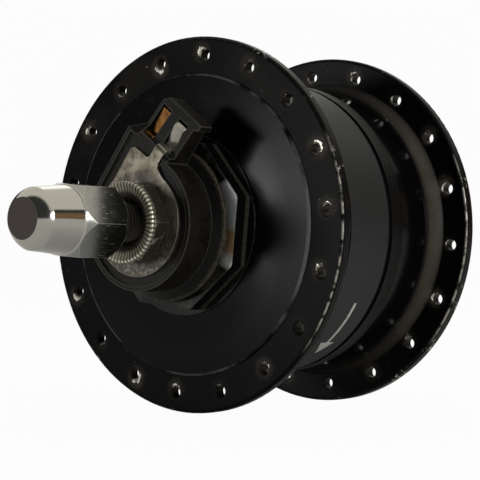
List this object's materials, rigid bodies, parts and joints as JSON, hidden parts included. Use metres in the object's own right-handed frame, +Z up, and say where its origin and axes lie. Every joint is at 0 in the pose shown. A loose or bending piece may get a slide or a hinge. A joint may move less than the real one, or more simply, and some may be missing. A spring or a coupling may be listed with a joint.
{
  "type": "hub dynamo",
  "caption": "Front wheel hub with drilled spoke flanges that holds a claw-pole generator and turns on a nutted axle, with a push-on connector at one end.",
  "frame": {"origin": "middle of the axle, halfway between the two faces that the fork clamps", "axes": "+Y along the axle, away from the connector; +Z up as pictured; +X to the side that the connector leans to"},
  "size_m": [0.089, 0.1608, 0.089],
  "materials": {
    "black_shell": "satin black anodised",
    "black_steel": "black, worn bright on its front face",
    "black_moulding": "moulded",
    "chrome_plate": "polished, scuffed on the flats",
    "zinc_steel": "yellowed zinc plate",
    "plain_steel": "machined",
    "nickel_sheet": "dull nickel plate",
    "copper_strip": "tarnished copper",
    "soft_iron": "bare",
    "bearing_steel": "ground",
    "bobbin_plastic": "moulded",
    "enamelled_copper": "enamelled",
    "magnet_grey": "sintered",
    "lead_insulation": "smooth"
  },
  "bodies": {
    "axle_set": {"axle": "zinc_steel", "right_locknut": "zinc_steel", "left_locknut": "zinc_steel", "earth_plate": "nickel_sheet", "live_terminal": "copper_strip", "connector_body": "black_moulding", "right_dust_ring": "black_moulding", "left_dust_ring": "black_moulding", "left_collar": "black_moulding", "right_sleeve": "plain_steel", "left_sleeve": "plain_steel", "lead_wire": "lead_insulation", "right_inner_race": "bearing_steel", "left_inner_race": "bearing_steel", "stator_core": "soft_iron", "right_claw_plate": "soft_iron", "left_claw_plate": "soft_iron", "coil_bobbin": "bobbin_plastic", "coil_winding": "enamelled_copper"},
    "hub_rotor": {"hub_shell": "black_shell", "end_cover": "black_shell", "octagon_cup": "black_steel", "right_outer_race": "bearing_steel", "left_outer_race": "bearing_steel", "yoke_ring": "soft_iron", "magnets": "magnet_grey"},
    "right_ball_set": {"right_balls": "bearing_steel", "right_cage": "plain_steel"},
    "left_ball_set": {"left_balls": "bearing_steel", "left_cage": "plain_steel"},
    "right_nut": {"right_cap_nut": "chrome_plate"},
    "left_nut": {"left_cap_nut": "chrome_plate"}
  },
  "joints": [
    {"name": "hub_spin", "type": "hinge", "parent": "axle_set", "child": "hub_rotor", "pos_m": [0, 0, 0], "axis": [0, 1, 0], "continuous": true},
    {"name": "right_ball_spin", "type": "hinge", "parent": "axle_set", "child": "right_ball_set", "pos_m": [0, -0.029, 0], "axis": [0, 1, 0], "continuous": true},
    {"name": "left_ball_spin", "type": "hinge", "parent": "axle_set", "child": "left_ball_set", "pos_m": [0, 0.031, 0], "axis": [0, 1, 0], "continuous": true},
    {"name": "right_nut_travel", "type": "slide", "parent": "axle_set", "child": "right_nut", "axis": [0, -1, 0], "range_m": [0, 0.012]},
    {"name": "left_nut_travel", "type": "slide", "parent": "axle_set", "child": "left_nut", "axis": [0, 1, 0], "range_m": [0, 0.012]}
  ],
  "couplings": [
    {"joint": "right_ball_spin", "follows": "hub_spin", "ratio": 0.5923},
    {"joint": "left_ball_spin", "follows": "hub_spin", "ratio": 0.5923}
  ]
}
